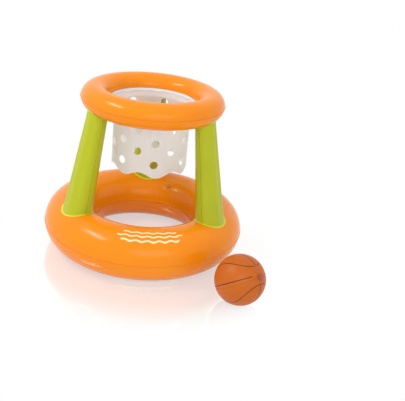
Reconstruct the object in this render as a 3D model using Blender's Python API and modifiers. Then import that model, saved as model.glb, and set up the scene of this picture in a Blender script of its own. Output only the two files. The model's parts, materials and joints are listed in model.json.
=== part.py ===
"""Floating basketball hoop for a swimming pool, with its ball.

The hoop is a welded vinyl inflatable: a fat base ring that floats, three tapered posts, a slimmer
ring as the rim, and a net sleeve of frosted film. Each ring is two sheets welded along its outer
and its inner edge, and each post is two panels welded up its sides. The base, the rim and the
ball have an air valve each: a flange on the film, a stem that pushes in until it is flush, a
one-way flap at the stem's inner end, and a stopper on a strap. The ball has six gores.

Metres, +Z up. The origin is under the middle of the box that holds hoop and ball, on the floor.
"""
import math
from typing import NamedTuple

import bmesh
import bpy
from mathutils import Matrix, Vector

# Vinyl sheet, and the clearance that is kept where two sheets are welded face to face
FILM = 0.0003
GAP = 0.0003

# Base ring: over its outer weld, between the walls of its hole, and from floor to top
BASE_DIAMETER = 0.670
BASE_HOLE = 0.324
BASE_HEIGHT = 0.165
BASE_WELD = 0.0025
BASE_BELLY_FLAT = 0.0015

# Rim ring, whose top is the top of the hoop
OVERALL_HEIGHT = 0.550
RIM_DIAMETER = 0.466
RIM_HOLE = 0.284
RIM_HEIGHT = 0.081
RIM_WELD = 0.0025

# Posts: flat width across the side welds and depth from front to back, at the foot and the head.
# A weld lip's straight edges cut across a ring's facets, so the gap is wider here.
POST_AZIMUTHS = {"front_left": 210, "front_right": 330, "rear": 90}
POST_FOOT_WIDTH = 0.112
POST_FOOT_DEPTH = 0.090
POST_HEAD_WIDTH = 0.080
POST_HEAD_DEPTH = 0.060
POST_HEAD_OUTSET = 0.006
POST_SIDE_WELD = 0.003
POST_LIP = 0.005
POST_GAP = 0.0006
POST_AIR_HOLE = 0.024

# Net sleeve, with heights taken down from the rim's middle. A short column of holes starts lower
# than a long one, and the hem's lobes hang a little beside the long columns.
NET_DIAMETER = 0.246
NET_LENGTH = 0.2165
NET_FLARE_HEIGHT = 0.027
NET_LIP_INSET = 0.001
NET_LIP = 0.003
NET_HOLE = 0.0255
NET_FIRST_ROW_DROP = 0.040
NET_ROW_PITCH = 0.070
NET_SHORT_COLUMN_DROP = 0.0275
NET_LONG_COLUMN_ROWS = 3
NET_SCALLOP = 0.009
NET_SCALLOPS = 7
NET_SCALLOP_TURN = 5
NET_AZIMUTH = -82
NET_BAND = 0.007

# Ball, standing on the floor beside the base
BALL_DIAMETER = 0.156
BALL_AZIMUTH = -50
BALL_CLEARANCE = 0.058
BALL_GORES = 6
BALL_POLE_OPENING = 0.014
BALL_POLE_PATCH = 0.030
BALL_POLE_DIRECTION = (0.65, -0.57, 0.50)

# Air valve, with radii as the moulding's diameters and heights above and below the film
VALVE_FLANGE = 0.021
VALVE_FLANGE_THICKNESS = 0.001
VALVE_FILM_HOLE = 0.0116
VALVE_RUNNING_GAP = 0.0004
VALVE_STEM = 0.010
VALVE_STEM_DEPTH = 0.0125
VALVE_BORE = 0.0074
VALVE_COLLAR = 0.0136
VALVE_COLLAR_THICKNESS = 0.001
VALVE_STOP = 0.0126
VALVE_STOP_THICKNESS = 0.0008
VALVE_FLAP = 0.0088
VALVE_FLAP_THICKNESS = 0.0006
STOPPER_HEAD = 0.0124
STOPPER_HEAD_THICKNESS = 0.0016
STOPPER_MOUTH = 0.0066
STOPPER_TIP = 0.0050
STOPPER_LENGTH = 0.005
STRAP_REACH = 0.011
STRAP_WIDTH = 0.004
STRAP_THICKNESS = 0.001
STRAP_ROLL = 0.0014
EAR_WIDTH = 0.005

# Where two valves sit on the rings: an azimuth in the middle of a facet, and the angle round the
# tube from its outer weld
BASE_VALVE_AZIMUTH = 65
BASE_VALVE_TUBE_ANGLE = 135
RIM_VALVE_AZIMUTH = 55
RIM_VALVE_TUBE_ANGLE = -45

# One overrun for every cutter and every piece that is sunk into its neighbour for a union
OVERRUN = 0.002

# Facets: how many steps a full turn or a half tube takes
RING_STEPS = 36
BASE_TOP_ARC_STEPS = 12
BASE_BOTTOM_ARC_STEPS = 10
RIM_ARC_STEPS = 8
NET_STEPS = 42
NET_HOLE_SIDES = 10
POST_SECTION_STEPS = 12
POST_WALL_STEPS = 3
GORE_STEPS = 4
GORE_ARC_STEPS = 8
VALVE_STEPS = 12

# Sheet and moulding colours: name to linear colour, roughness and alpha
FINISHES = {
    "orange_vinyl": ((0.87, 0.24, 0.02), 0.28, 1.0),
    "green_vinyl": ((0.45, 0.58, 0.03), 0.30, 1.0),
    "frosted_film": ((0.72, 0.66, 0.70), 0.45, 0.6),
    "white_weld_band": ((0.90, 0.88, 0.86), 0.40, 1.0),
    "ball_vinyl": ((0.66, 0.17, 0.03), 0.32, 1.0),
    "clear_valve_vinyl": ((0.80, 0.80, 0.76), 0.25, 0.8),
}


class Ring(NamedTuple):
    """An inflated ring whose tube has an elliptical section."""

    centre: float
    half_width: float
    half_height: float
    middle: float
    weld: float


def ring_from_sizes(outer_diameter, hole, height, middle, weld):
    outer_wall = outer_diameter / 2 - weld
    inner_wall = hole / 2
    return Ring((outer_wall + inner_wall) / 2, (outer_wall - inner_wall) / 2, height / 2, middle, weld)


BASE = ring_from_sizes(BASE_DIAMETER, BASE_HOLE, BASE_HEIGHT, BASE_HEIGHT / 2, BASE_WELD)
RIM = ring_from_sizes(RIM_DIAMETER, RIM_HOLE, RIM_HEIGHT, OVERALL_HEIGHT - RIM_HEIGHT / 2, RIM_WELD)


def start_empty():
    for old in list(bpy.data.objects):
        bpy.data.objects.remove(old)


def new_collection(name):
    collection = bpy.data.collections.new(name)
    bpy.context.scene.collection.children.link(collection)
    return collection


def new_material(name):
    colour, roughness, alpha = FINISHES[name]
    material = bpy.data.materials.new(name)
    material.use_nodes = True
    shader = material.node_tree.nodes["Principled BSDF"]
    shader.inputs["Base Color"].default_value = (*colour, 1.0)
    shader.inputs["Roughness"].default_value = roughness
    shader.inputs["Alpha"].default_value = alpha
    return material


start_empty()
PARTS = new_collection("floating_basketball_hoop")
CUTTERS = new_collection("cutters")
MATERIALS = {name: new_material(name) for name in FINISHES}


def add_part(name, mesh, finish, parent, matrix=None):
    part = bpy.data.objects.new(name, mesh)
    if not mesh.materials:
        mesh.materials.append(MATERIALS[finish])
    mesh.shade_smooth()
    mesh.set_sharp_from_angle(angle=math.radians(40))
    PARTS.objects.link(part)
    part.parent = parent
    if matrix is not None:
        part.matrix_local = matrix
    return part


def add_cutter(name, mesh, parent, matrix=None):
    cutter = bpy.data.objects.new(name, mesh)
    CUTTERS.objects.link(cutter)
    cutter.hide_render = True
    cutter.display_type = "WIRE"
    cutter.parent = parent
    if matrix is not None:
        cutter.matrix_local = matrix
    return cutter


def add_empty(name, matrix, parent=None):
    empty = bpy.data.objects.new(name, None)
    bpy.context.scene.collection.objects.link(empty)
    empty.parent = parent
    empty.matrix_local = matrix
    return empty


def boolean(part, operation, other):
    modifier = part.modifiers.new(other.name, "BOOLEAN")
    modifier.operation = operation
    modifier.solver = "EXACT"
    modifier.object = other


def screw(part, steps, angle=360):
    modifier = part.modifiers.new("turn", "SCREW")
    modifier.angle = math.radians(angle)
    modifier.steps = steps
    modifier.render_steps = steps
    modifier.use_merge_vertices = True
    modifier.merge_threshold = FILM / 10
    modifier.use_normal_calculate = False
    return modifier


def thicken(part):
    modifier = part.modifiers.new("sheet thickness", "SOLIDIFY")
    modifier.thickness = FILM
    modifier.offset = 0
    modifier.use_even_offset = True
    return modifier


def clockwise(points):
    """The order in which a turned profile faces outwards."""
    pairs = zip(points, points[1:] + points[:1])
    doubled_area = sum(x0 * y1 - x1 * y0 for (x0, y0), (x1, y1) in pairs)
    return points if doubled_area < 0 else points[::-1]


def profile_mesh(name, points, closed):
    mesh = bpy.data.meshes.new(name)
    count = len(points)
    edges = [(i, (i + 1) % count) for i in range(count if closed else count - 1)]
    mesh.from_pydata([(radius, 0, height) for radius, height in points], edges, [])
    return mesh


def turned_part(name, points, steps, finish, parent, matrix=None):
    """A solid ring turned from a closed outline of (radius, height) points that is off the axis."""
    part = add_part(name, profile_mesh(name, clockwise(points), True), finish, parent, matrix)
    screw(part, steps)
    return part


def turned_plug(name, points, steps, finish, parent, matrix=None):
    """A solid turned from an open outline that runs down from the axis and back to it."""
    part = add_part(name, profile_mesh(name, points, False), finish, parent, matrix)
    screw(part, steps)
    return part


def cylinder_mesh(name, diameter, length, sides):
    """A cylinder along Z with its middle at the origin."""
    mesh = bpy.data.meshes.new(name)
    build = bmesh.new()
    bmesh.ops.create_cone(build, cap_ends=True, segments=sides, radius1=diameter / 2,
                          radius2=diameter / 2, depth=length)
    build.to_mesh(mesh)
    build.free()
    return mesh


def box_mesh(name, low, high):
    mesh = bpy.data.meshes.new(name)
    build = bmesh.new()
    bmesh.ops.create_cube(build, size=1)
    size = Vector(high) - Vector(low)
    middle = (Vector(high) + Vector(low)) / 2
    bmesh.ops.scale(build, verts=build.verts, vec=size)
    bmesh.ops.translate(build, verts=build.verts, vec=middle)
    build.to_mesh(mesh)
    build.free()
    return mesh


def turn(azimuth):
    return Matrix.Rotation(math.radians(azimuth), 4, "Z")


# Rings

def film_outline(ring, side, arc_steps, belly_flat=0.0):
    """Closed outline of one of a ring's two sheets: side is 1 for the upper one, -1 for the lower.

    The sheet arches from weld to weld, and its edges lie flat along the other sheet's. belly_flat
    is how far the arch would reach past the floor, which presses it flat there.
    """
    rise = ring.half_height - GAP / 2 - FILM
    reach = rise + belly_flat
    angles = [math.pi * i / arc_steps for i in range(arc_steps + 1)]
    if belly_flat:
        edge = math.asin(rise / reach)
        angles = [a for a in angles if math.sin(a) < math.sin(edge)]
        angles = sorted(angles + [edge, math.pi / 2, math.pi - edge])

    def arch(width, lift):
        return [(ring.centre + width * math.cos(a), lift + min(reach * math.sin(a), rise)) for a in angles]

    outer_fin = ring.centre + ring.half_width + ring.weld
    inner_fin = ring.centre - ring.half_width - ring.weld
    skin = [(outer_fin, FILM)] + arch(ring.half_width, FILM) + [(inner_fin, FILM)]
    lining = [(inner_fin, 0.0)] + arch(ring.half_width - FILM, 0.0)[::-1] + [(outer_fin, 0.0)]
    return [(radius, ring.middle + side * (GAP / 2 + height)) for radius, height in skin + lining]


def tube_frame(ring, azimuth, tube_angle):
    """Where a fitting sits on a ring, in the middle of a facet: Z out of the skin, X along the ring."""
    angle = math.radians(tube_angle)
    side = 1 if math.sin(angle) >= 0 else -1
    rise = ring.half_height - GAP / 2 - FILM
    radius = (ring.centre + ring.half_width * math.cos(angle)) * math.cos(math.pi / RING_STEPS)
    height = ring.middle + side * (GAP / 2 + FILM) + rise * math.sin(angle)
    normal = Vector((math.cos(angle) / ring.half_width, 0, math.sin(angle) / rise)).normalized()
    along = Vector((0, 1, 0))
    across = normal.cross(along)
    frame = Matrix((along, across, normal)).transposed().to_4x4()
    frame.translation = Vector((radius, 0, height))
    return turn(azimuth) @ frame


def skin_height(ring, radius, side, clearance):
    """Height of a ring's skin at a radius, grown by a clearance."""
    share = (radius - ring.centre) / (ring.half_width + clearance)
    return ring.middle + side * (ring.half_height + clearance) * math.sqrt(1 - share * share)


def make_rings(hoop):
    sheets = (
        ("base_top_film", BASE, 1, BASE_TOP_ARC_STEPS, 0.0),
        ("base_bottom_film", BASE, -1, BASE_BOTTOM_ARC_STEPS, BASE_BELLY_FLAT),
        ("rim_top_film", RIM, 1, RIM_ARC_STEPS, 0.0),
        ("rim_bottom_film", RIM, -1, RIM_ARC_STEPS, 0.0),
    )
    films = {}
    for name, ring, side, arc_steps, belly_flat in sheets:
        outline = film_outline(ring, side, arc_steps, belly_flat)
        films[name] = turned_part(name, outline, RING_STEPS, "orange_vinyl", hoop)
    return films


# Posts

def post_section(share, side):
    """Half of a post's section at a share of its height: (outward, sideways) from the hoop's axis.

    It starts and ends with the flat side welds.
    """
    width = POST_FOOT_WIDTH + (POST_HEAD_WIDTH - POST_FOOT_WIDTH) * share
    depth = POST_FOOT_DEPTH + (POST_HEAD_DEPTH - POST_FOOT_DEPTH) * share
    centre = BASE.centre + (RIM.centre + POST_HEAD_OUTSET - BASE.centre) * share
    sheet = (POST_GAP + FILM) / 2
    points = [(centre + side * sheet, -width / 2 - POST_SIDE_WELD)]
    for i in range(POST_SECTION_STEPS + 1):
        angle = math.pi * (i / POST_SECTION_STEPS - 1 / 2)
        outward = centre + side * (sheet + (depth / 2 - sheet) * math.cos(angle))
        points.append((outward, width / 2 * math.sin(angle)))
    points.append((centre + side * sheet, width / 2 + POST_SIDE_WELD))
    return points


def lip_section(share, side):
    """The section's points moved outwards by the width of the weld lip."""
    section = post_section(share, side)
    moved = []
    last = len(section) - 1
    for i, (outward, sideways) in enumerate(section):
        if i in (0, last):
            step = (0.0, -1.0 if i == 0 else 1.0)
        else:
            angle = math.pi * ((i - 1) / POST_SECTION_STEPS - 1 / 2)
            step = (side * math.cos(angle), math.sin(angle))
        moved.append((outward + POST_LIP * step[0], sideways + POST_LIP * step[1]))
    return moved


def facet_radius(x, y):
    """The tube radius that a faceted ring has over a point: a facet's middle lies further in."""
    facet = 2 * math.pi / RING_STEPS
    from_middle = math.atan2(y, x) % facet - facet / 2
    return math.hypot(x, y) * math.cos(from_middle) / math.cos(facet / 2)


def on_ring(section, ring, side):
    """A section's points laid on a ring's skin, a lip's clearance off it."""
    clearance = POST_GAP + FILM / 2
    return [Vector((x, y, skin_height(ring, facet_radius(x, y), side, clearance))) for x, y in section]


def post_panel_mesh(name, side):
    """One of a post's two panels: a wall between two lips that lie along the rings."""
    foot = on_ring(post_section(0, side), BASE, 1)
    head = on_ring(post_section(1, side), RIM, -1)
    rows = [on_ring(lip_section(0, side), BASE, 1), foot]
    for i in range(1, POST_WALL_STEPS):
        share = i / POST_WALL_STEPS
        heights = [low.z + (high.z - low.z) * share for low, high in zip(foot, head)]
        rows.append([Vector((x, y, z)) for (x, y), z in zip(post_section(share, side), heights)])
    rows += [head, on_ring(lip_section(1, side), RIM, -1)]
    columns = len(foot)
    corners = [(a, b, b + columns, a + columns)
               for row in range(len(rows) - 1)
               for a, b in ((row * columns + i, row * columns + i + 1) for i in range(columns - 1))]
    if side < 0:
        corners = [face[::-1] for face in corners]
    mesh = bpy.data.meshes.new(name)
    mesh.from_pydata([point for row in rows for point in row], [], corners)
    return mesh


def make_posts(hoop):
    for panel, side in (("outer", 1), ("inner", -1)):
        mesh = post_panel_mesh(f"post_{panel}_panel", side)
        for place, azimuth in POST_AZIMUTHS.items():
            part = add_part(f"{place}_post_{panel}_panel", mesh, "green_vinyl", hoop, turn(azimuth))
            thicken(part)


# Net

def net_outline():
    """Middle line of the net film from its top lip down to where the plain tube starts."""
    lip_outer = RIM.centre - RIM.half_width - NET_LIP_INSET
    lip_height = RIM.middle - GAP / 2 - FILM - GAP - FILM / 2
    neck = lip_outer - NET_LIP
    return [(lip_outer, lip_height), (neck, lip_height),
            (NET_DIAMETER / 2, RIM.middle - NET_FLARE_HEIGHT)]


def net_mesh():
    """The sleeve as an open surface whose lower edge hangs in scallops."""
    build = bmesh.new()
    rows = []
    for radius, height in net_outline():
        rows.append([(radius, height)] * NET_STEPS)
    hem = []
    for i in range(NET_STEPS):
        wave = math.cos(NET_SCALLOPS * (2 * math.pi * i / NET_STEPS - math.radians(NET_SCALLOP_TURN)))
        hem.append((NET_DIAMETER / 2, RIM.middle - NET_LENGTH - NET_SCALLOP * wave))
    rows.append(hem)
    grid = []
    for row in rows:
        ring = []
        for i, (radius, height) in enumerate(row):
            angle = 2 * math.pi * i / NET_STEPS
            ring.append(build.verts.new((radius * math.cos(angle), radius * math.sin(angle), height)))
        grid.append(ring)
    for upper, lower in zip(grid, grid[1:]):
        for i in range(NET_STEPS):
            after = (i + 1) % NET_STEPS
            build.faces.new((upper[i], lower[i], lower[after], upper[after]))
    mesh = bpy.data.meshes.new("net_sleeve")
    build.to_mesh(mesh)
    build.free()
    return mesh


def net_hole_cutter(parent):
    """Every hole of the net as one mesh of radial cylinders: long columns and short ones by turns."""
    build = bmesh.new()
    length = NET_DIAMETER / 4
    for column in range(2 * NET_SCALLOPS):
        short = column % 2
        for row in range(NET_LONG_COLUMN_ROWS - short):
            drop = NET_FIRST_ROW_DROP + NET_ROW_PITCH * row + NET_SHORT_COLUMN_DROP * short
            place = (turn(180 * column / NET_SCALLOPS)
                     @ Matrix.Translation((NET_DIAMETER / 2, 0, RIM.middle - drop))
                     @ Matrix.Rotation(math.pi / 2, 4, "Y"))
            bmesh.ops.create_cone(build, cap_ends=True, segments=NET_HOLE_SIDES, radius1=NET_HOLE / 2,
                                  radius2=NET_HOLE / 2, depth=length, matrix=place)
    mesh = bpy.data.meshes.new("net_hole_cutter")
    build.to_mesh(mesh)
    build.free()
    return add_cutter("net_hole_cutter", mesh, parent, turn(NET_AZIMUTH))


def make_net(hoop):
    net = add_part("net_sleeve", net_mesh(), "frosted_film", hoop, turn(NET_AZIMUTH))
    thicken(net)
    boolean(net, "DIFFERENCE", net_hole_cutter(hoop))
    (_, top), (neck, _), (waist, flare_end) = net_outline()
    slope = (neck - waist) / (top - flare_end)
    standoff = 2 * GAP + FILM / 2
    upper = top - GAP
    lower = top - NET_BAND
    band = []
    for offset, heights in ((standoff, (upper, lower)), (standoff + FILM, (lower, upper))):
        band += [(neck - slope * (top - height) - offset, height) for height in heights]
    turned_part("net_weld_band", band, NET_STEPS, "white_weld_band", hoop, turn(NET_AZIMUTH))


# Valves

def valve_levels():
    """Heights above the skin that the valve's pieces share, from the flange up and down."""
    flange_top = GAP + VALVE_FLANGE_THICKNESS
    collar_bottom = flange_top + GAP
    mouth = collar_bottom + VALVE_COLLAR_THICKNESS
    stem_end = -VALVE_STEM_DEPTH
    return flange_top, collar_bottom, mouth, stem_end


def make_valve(name, parent, frame, host):
    """The four pieces of one air valve, and the hole for its stem in the film that carries it."""
    seat = add_empty(f"{name}_seat", frame, parent)
    flange_top, collar_bottom, mouth, stem_end = valve_levels()
    stem_radius = VALVE_STEM / 2
    if host is not None:
        hole = cylinder_mesh(f"{name}_film_hole", VALVE_FILM_HOLE, VALVE_FILM_HOLE, VALVE_STEPS)
        boolean(host, "DIFFERENCE", add_cutter(f"{name}_film_hole", hole, seat))

    bore = stem_radius + VALVE_RUNNING_GAP
    turned_part(f"{name}_flange", [(bore, GAP), (VALVE_FLANGE / 2, GAP), (VALVE_FLANGE / 2, flange_top),
                                   (bore, flange_top)], VALVE_STEPS, "clear_valve_vinyl", seat)

    stop_top = stem_end + VALVE_STOP_THICKNESS
    stem_outline = [(VALVE_BORE / 2, stem_end), (VALVE_STOP / 2, stem_end), (VALVE_STOP / 2, stop_top),
                    (stem_radius, stop_top), (stem_radius, collar_bottom), (VALVE_COLLAR / 2, collar_bottom),
                    (VALVE_COLLAR / 2, mouth), (VALVE_BORE / 2, mouth)]
    stem = turned_part(f"{name}_stem", stem_outline, VALVE_STEPS, "clear_valve_vinyl", seat)
    ear_end = STRAP_REACH - STRAP_ROLL / 2 - GAP
    ear = box_mesh(f"{name}_ear", (VALVE_COLLAR / 2 - OVERRUN, -EAR_WIDTH / 2, collar_bottom),
                   (ear_end, EAR_WIDTH / 2, mouth))
    boolean(stem, "UNION", add_cutter(f"{name}_ear", ear, seat))

    flap_top = stem_end - GAP
    flap_bottom = flap_top - VALVE_FLAP_THICKNESS
    hinge = add_empty(f"{name}_flap_hinge", Matrix.Translation((-VALVE_FLAP / 2, 0, flap_top)), seat)
    flap_outline = [(0.0, flap_top), (VALVE_FLAP / 2, flap_top), (VALVE_FLAP / 2, flap_bottom),
                    (0.0, flap_bottom)]
    turned_plug(f"{name}_flap", flap_outline, VALVE_STEPS, "clear_valve_vinyl", hinge,
                Matrix.Translation((VALVE_FLAP / 2, 0, -flap_top)))

    head_bottom = mouth + GAP
    head_top = head_bottom + STOPPER_HEAD_THICKNESS
    tip = mouth - STOPPER_LENGTH
    pivot = add_empty(f"{name}_stopper_hinge", Matrix.Translation((STRAP_REACH, 0, mouth)), seat)
    back = Matrix.Translation((-STRAP_REACH, 0, -mouth))
    stopper_outline = [(0.0, head_top), (STOPPER_HEAD / 2, head_top), (STOPPER_HEAD / 2, head_bottom),
                       (STOPPER_MOUTH / 2, head_bottom), (STOPPER_TIP / 2, tip), (0.0, tip)]
    stopper = turned_plug(f"{name}_stopper", stopper_outline, VALVE_STEPS, "clear_valve_vinyl", pivot, back)
    strap = box_mesh(f"{name}_strap", (STOPPER_HEAD / 2 - OVERRUN, -STRAP_WIDTH / 2, head_bottom),
                     (STRAP_REACH, STRAP_WIDTH / 2, head_bottom + STRAP_THICKNESS))
    boolean(stopper, "UNION", add_cutter(f"{name}_strap", strap, pivot, back))
    roll = cylinder_mesh(f"{name}_strap_roll", STRAP_ROLL, STRAP_WIDTH - GAP, VALVE_STEPS)
    boolean(stopper, "UNION", add_cutter(f"{name}_strap_roll", roll, pivot,
                                         Matrix.Rotation(math.pi / 2, 4, "X")))


def cut_post_air_holes(film, hoop):
    """Each post fills through a hole in the base's upper film, under its foot."""
    for place, azimuth in POST_AZIMUTHS.items():
        name = f"{place}_post_air_hole"
        mesh = cylinder_mesh(name, POST_AIR_HOLE, POST_AIR_HOLE, VALVE_STEPS)
        spot = turn(azimuth) @ Matrix.Translation((BASE.centre, 0, BASE_HEIGHT))
        boolean(film, "DIFFERENCE", add_cutter(name, mesh, hoop, spot))


# Ball

def gore_mesh():
    """A meridian from one pole's opening to the other's, in the plane of the pole axis."""
    radius = BALL_DIAMETER / 2 - FILM / 2
    start = math.asin(BALL_POLE_OPENING / 2 / radius)
    points = []
    for i in range(GORE_ARC_STEPS + 1):
        angle = start + (math.pi - 2 * start) * i / GORE_ARC_STEPS
        points.append((radius * math.sin(angle), radius * math.cos(angle)))
    return profile_mesh("ball_gore", points, False)


def pole_patch_outline():
    """A shallow disc that lies over the gores' ends, from its middle out and back."""
    under = BALL_DIAMETER / 2 + 2 * GAP
    over = under + FILM
    edge = math.asin(BALL_POLE_PATCH / 2 / under)
    angles = (0, edge / 2, edge)
    outline = [(over * math.sin(a), over * math.cos(a)) for a in angles]
    return outline + [(under * math.sin(a), under * math.cos(a)) for a in angles[::-1]]


def make_ball(hoop):
    radius = BALL_DIAMETER / 2
    x, y = ball_place()
    pole = Vector(BALL_POLE_DIRECTION).to_track_quat("Z", "Y").to_matrix().to_4x4()
    ball = add_empty("ball_centre", Matrix.Translation((x, y, radius + GAP)) @ pole, hoop)
    mesh = gore_mesh()
    for i in range(BALL_GORES):
        width = 360 / BALL_GORES
        middle = math.radians(width / 2)
        outset = Matrix.Translation((GAP * math.cos(middle), GAP * math.sin(middle), 0))
        gore = add_part(f"ball_gore_{i + 1}", mesh, "ball_vinyl", ball, turn(width * i) @ outset)
        screw(gore, GORE_STEPS, width)
        thicken(gore)
    flip = Matrix.Rotation(math.pi, 4, "X")
    turned_plug("ball_pole_patch", pole_patch_outline(), VALVE_STEPS, "ball_vinyl", ball, flip)
    make_valve("ball_valve", ball, Matrix.Translation((0, 0, radius)), None)


def ball_place():
    """The ball's middle on the floor plan, from the hoop's axis."""
    distance = BASE_DIAMETER / 2 + BALL_CLEARANCE + BALL_DIAMETER / 2
    angle = math.radians(BALL_AZIMUTH)
    return distance * math.cos(angle), distance * math.sin(angle)


def hoop_place():
    """Where the hoop's axis stands, so that the origin is the middle of hoop and ball together."""
    place = []
    for middle in ball_place():
        low = min(-BASE_DIAMETER / 2, middle - BALL_DIAMETER / 2)
        high = max(BASE_DIAMETER / 2, middle + BALL_DIAMETER / 2)
        place.append(-(low + high) / 2)
    return Matrix.Translation((*place, 0))


def main():
    hoop = add_empty("hoop_axis", hoop_place())
    films = make_rings(hoop)
    make_posts(hoop)
    make_net(hoop)
    cut_post_air_holes(films["base_top_film"], hoop)
    make_valve("base_valve", hoop, tube_frame(BASE, BASE_VALVE_AZIMUTH, BASE_VALVE_TUBE_ANGLE),
               films["base_top_film"])
    make_valve("rim_valve", hoop, tube_frame(RIM, RIM_VALVE_AZIMUTH, RIM_VALVE_TUBE_ANGLE),
               films["rim_bottom_film"])
    make_ball(hoop)


main()
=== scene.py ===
# %% [markdown]
# # A floating basketball hoop, dressed around its CAD model
# The toy is welded from thin vinyl sheet: a fat ring that floats, three tapered posts, a slimmer
# ring as the rim, and a sleeve of frosted film as the net. A vinyl ball stands beside it. The CAD
# model gives each piece its place and size. This lesson models every sheet again, smooth and with
# its welds and puckers, and gives each one a procedural finish.

# %% Load the CAD frame
import json
import math
from typing import NamedTuple

import bmesh
import bpy
from mathutils import Matrix, Vector


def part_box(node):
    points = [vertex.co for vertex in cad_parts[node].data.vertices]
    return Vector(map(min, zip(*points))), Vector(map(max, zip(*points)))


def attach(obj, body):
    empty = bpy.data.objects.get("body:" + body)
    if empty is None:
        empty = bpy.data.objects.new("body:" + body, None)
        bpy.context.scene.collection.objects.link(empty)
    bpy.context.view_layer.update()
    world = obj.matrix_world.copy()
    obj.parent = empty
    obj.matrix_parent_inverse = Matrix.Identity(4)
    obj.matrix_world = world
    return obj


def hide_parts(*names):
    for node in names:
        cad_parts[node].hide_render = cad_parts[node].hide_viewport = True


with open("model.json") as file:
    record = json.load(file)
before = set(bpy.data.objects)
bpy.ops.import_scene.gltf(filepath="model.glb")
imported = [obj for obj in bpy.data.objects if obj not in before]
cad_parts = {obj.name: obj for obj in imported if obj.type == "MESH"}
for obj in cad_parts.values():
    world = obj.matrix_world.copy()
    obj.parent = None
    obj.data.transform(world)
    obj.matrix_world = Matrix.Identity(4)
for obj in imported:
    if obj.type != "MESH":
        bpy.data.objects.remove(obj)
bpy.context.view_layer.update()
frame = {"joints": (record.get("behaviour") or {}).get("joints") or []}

# %% [markdown]
# ## Sizes
# Sizes are in metres and written in millimetres, as a maker would. What the CAD boxes can say is
# read from them, so the looks follow the model, and only what a box can't say is written here.

# %% Sizes of the two rings
MM = 0.001
SHEET = 0.3 * MM
BETWEEN_SHEETS = 0.3 * MM
BASE_HOLE = 324 * MM
RIM_HOLE = 284 * MM
SEAM_WELD = 2.5 * MM


class Ring(NamedTuple):
    """An inflated ring: its tube's centre line, half sizes and seam height."""

    centre: float
    half_width: float
    half_height: float
    middle: float


def ring_from_boxes(upper_node, lower_node, hole):
    upper_low, upper_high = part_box(upper_node)
    lower_low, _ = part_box(lower_node)
    outer_wall = (upper_high.x - upper_low.x) / 2 - SEAM_WELD
    half_height = (upper_high.z - lower_low.z) / 2
    return Ring((outer_wall + hole / 2) / 2, (outer_wall - hole / 2) / 2, half_height,
                lower_low.z + half_height)


base_low, base_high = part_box("base_top_film")
AXIS = Vector(((base_low.x + base_high.x) / 2, (base_low.y + base_high.y) / 2, 0))
BASE = ring_from_boxes("base_top_film", "base_bottom_film", BASE_HOLE)
RIM = ring_from_boxes("rim_top_film", "rim_bottom_film", RIM_HOLE)
print("base", BASE, "rim", RIM)

# %% [markdown]
# ## Hand tools
# Modelling with operators means selecting first and then acting, as with the mouse. These small
# helpers select by place, so that each step below reads as a maker would say it.

# %% Selecting
def clear_selection():
    if bpy.context.mode != "OBJECT":
        bpy.ops.object.mode_set(mode="OBJECT")
    bpy.ops.object.select_all(action="DESELECT")


def take(piece):
    """Makes one piece the active one and the only one selected."""
    clear_selection()
    piece.select_set(True)
    bpy.context.view_layer.objects.active = piece


def call_it(name):
    """Names the primitive that was just added."""
    piece = bpy.context.object
    piece.name = name
    piece.data.name = name
    return piece


def middle_of(element):
    if isinstance(element, bmesh.types.BMVert):
        return element.co
    corners = [corner.co for corner in element.verts]
    return sum(corners, Vector()) / len(corners)


def choose(piece, kind, test):
    """In edit mode, selects the vertices, edges or faces that pass a test, and nothing else."""
    if bpy.context.object != piece or bpy.context.mode != "EDIT_MESH":
        take(piece)
        bpy.ops.object.mode_set(mode="EDIT")
    bpy.ops.mesh.select_mode(type=kind)
    bpy.ops.mesh.select_all(action="DESELECT")
    shape = bmesh.from_edit_mesh(piece.data)
    elements = {"VERT": shape.verts, "EDGE": shape.edges, "FACE": shape.faces}[kind]
    chosen = [element for element in elements if test(element)]
    for element in chosen:
        element.select_set(True)
    shape.select_flush_mode()
    bmesh.update_edit_mesh(piece.data)
    return len(chosen)


def choose_all(piece):
    choose(piece, "VERT", lambda vertex: True)


def leave(piece):
    """Leaves edit mode with everything deselected."""
    clear_selection()
    return piece


# %% Shaping
def move_points(piece, formula):
    """Moves every point of a soft form by a formula."""
    clear_selection()
    for point in piece.data.vertices:
        point.co = formula(point.co.copy())
    piece.data.update()


def apply_modifiers(piece):
    take(piece)
    for modifier in list(piece.modifiers):
        bpy.ops.object.modifier_apply(modifier=modifier.name)


def thicken(piece):
    wall = piece.modifiers.new("sheet", "SOLIDIFY")
    wall.thickness = SHEET
    wall.offset = 0
    wall.use_even_offset = True
    apply_modifiers(piece)


# %% Tubes, bars and cuts
def open_tube(name, radius, height, steps, place):
    clear_selection()
    bpy.ops.mesh.primitive_cylinder_add(vertices=steps, radius=radius, depth=height,
                                        end_fill_type="NOTHING", location=place)
    return call_it(name)


def add_rows(tube, height, count):
    """Cuts across the edges that run the whole height of an open tube."""
    choose(tube, "EDGE", lambda e: abs(e.verts[0].co.z - e.verts[1].co.z) > height / 2)
    bpy.ops.mesh.subdivide(number_cuts=count)


def round_bar(diameter, length, matrix, steps=48):
    """A cylinder along Z of the matrix, to cut a hole with or to join on."""
    clear_selection()
    bpy.ops.mesh.primitive_cylinder_add(vertices=steps, radius=diameter / 2, depth=length)
    bar = call_it("bar")
    bar.matrix_world = matrix
    put_place_in_mesh(bar)
    return bar


def combine(piece, other, operation):
    """Cuts another piece out of this one, or joins it on, and uses it up."""
    modifier = piece.modifiers.new("combine", "BOOLEAN")
    modifier.operation = operation
    modifier.solver = "EXACT"
    modifier.object = other
    apply_modifiers(piece)
    bpy.data.objects.remove(other)


# %% Copying and finishing
SMOOTH_ANGLE = 40


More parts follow.
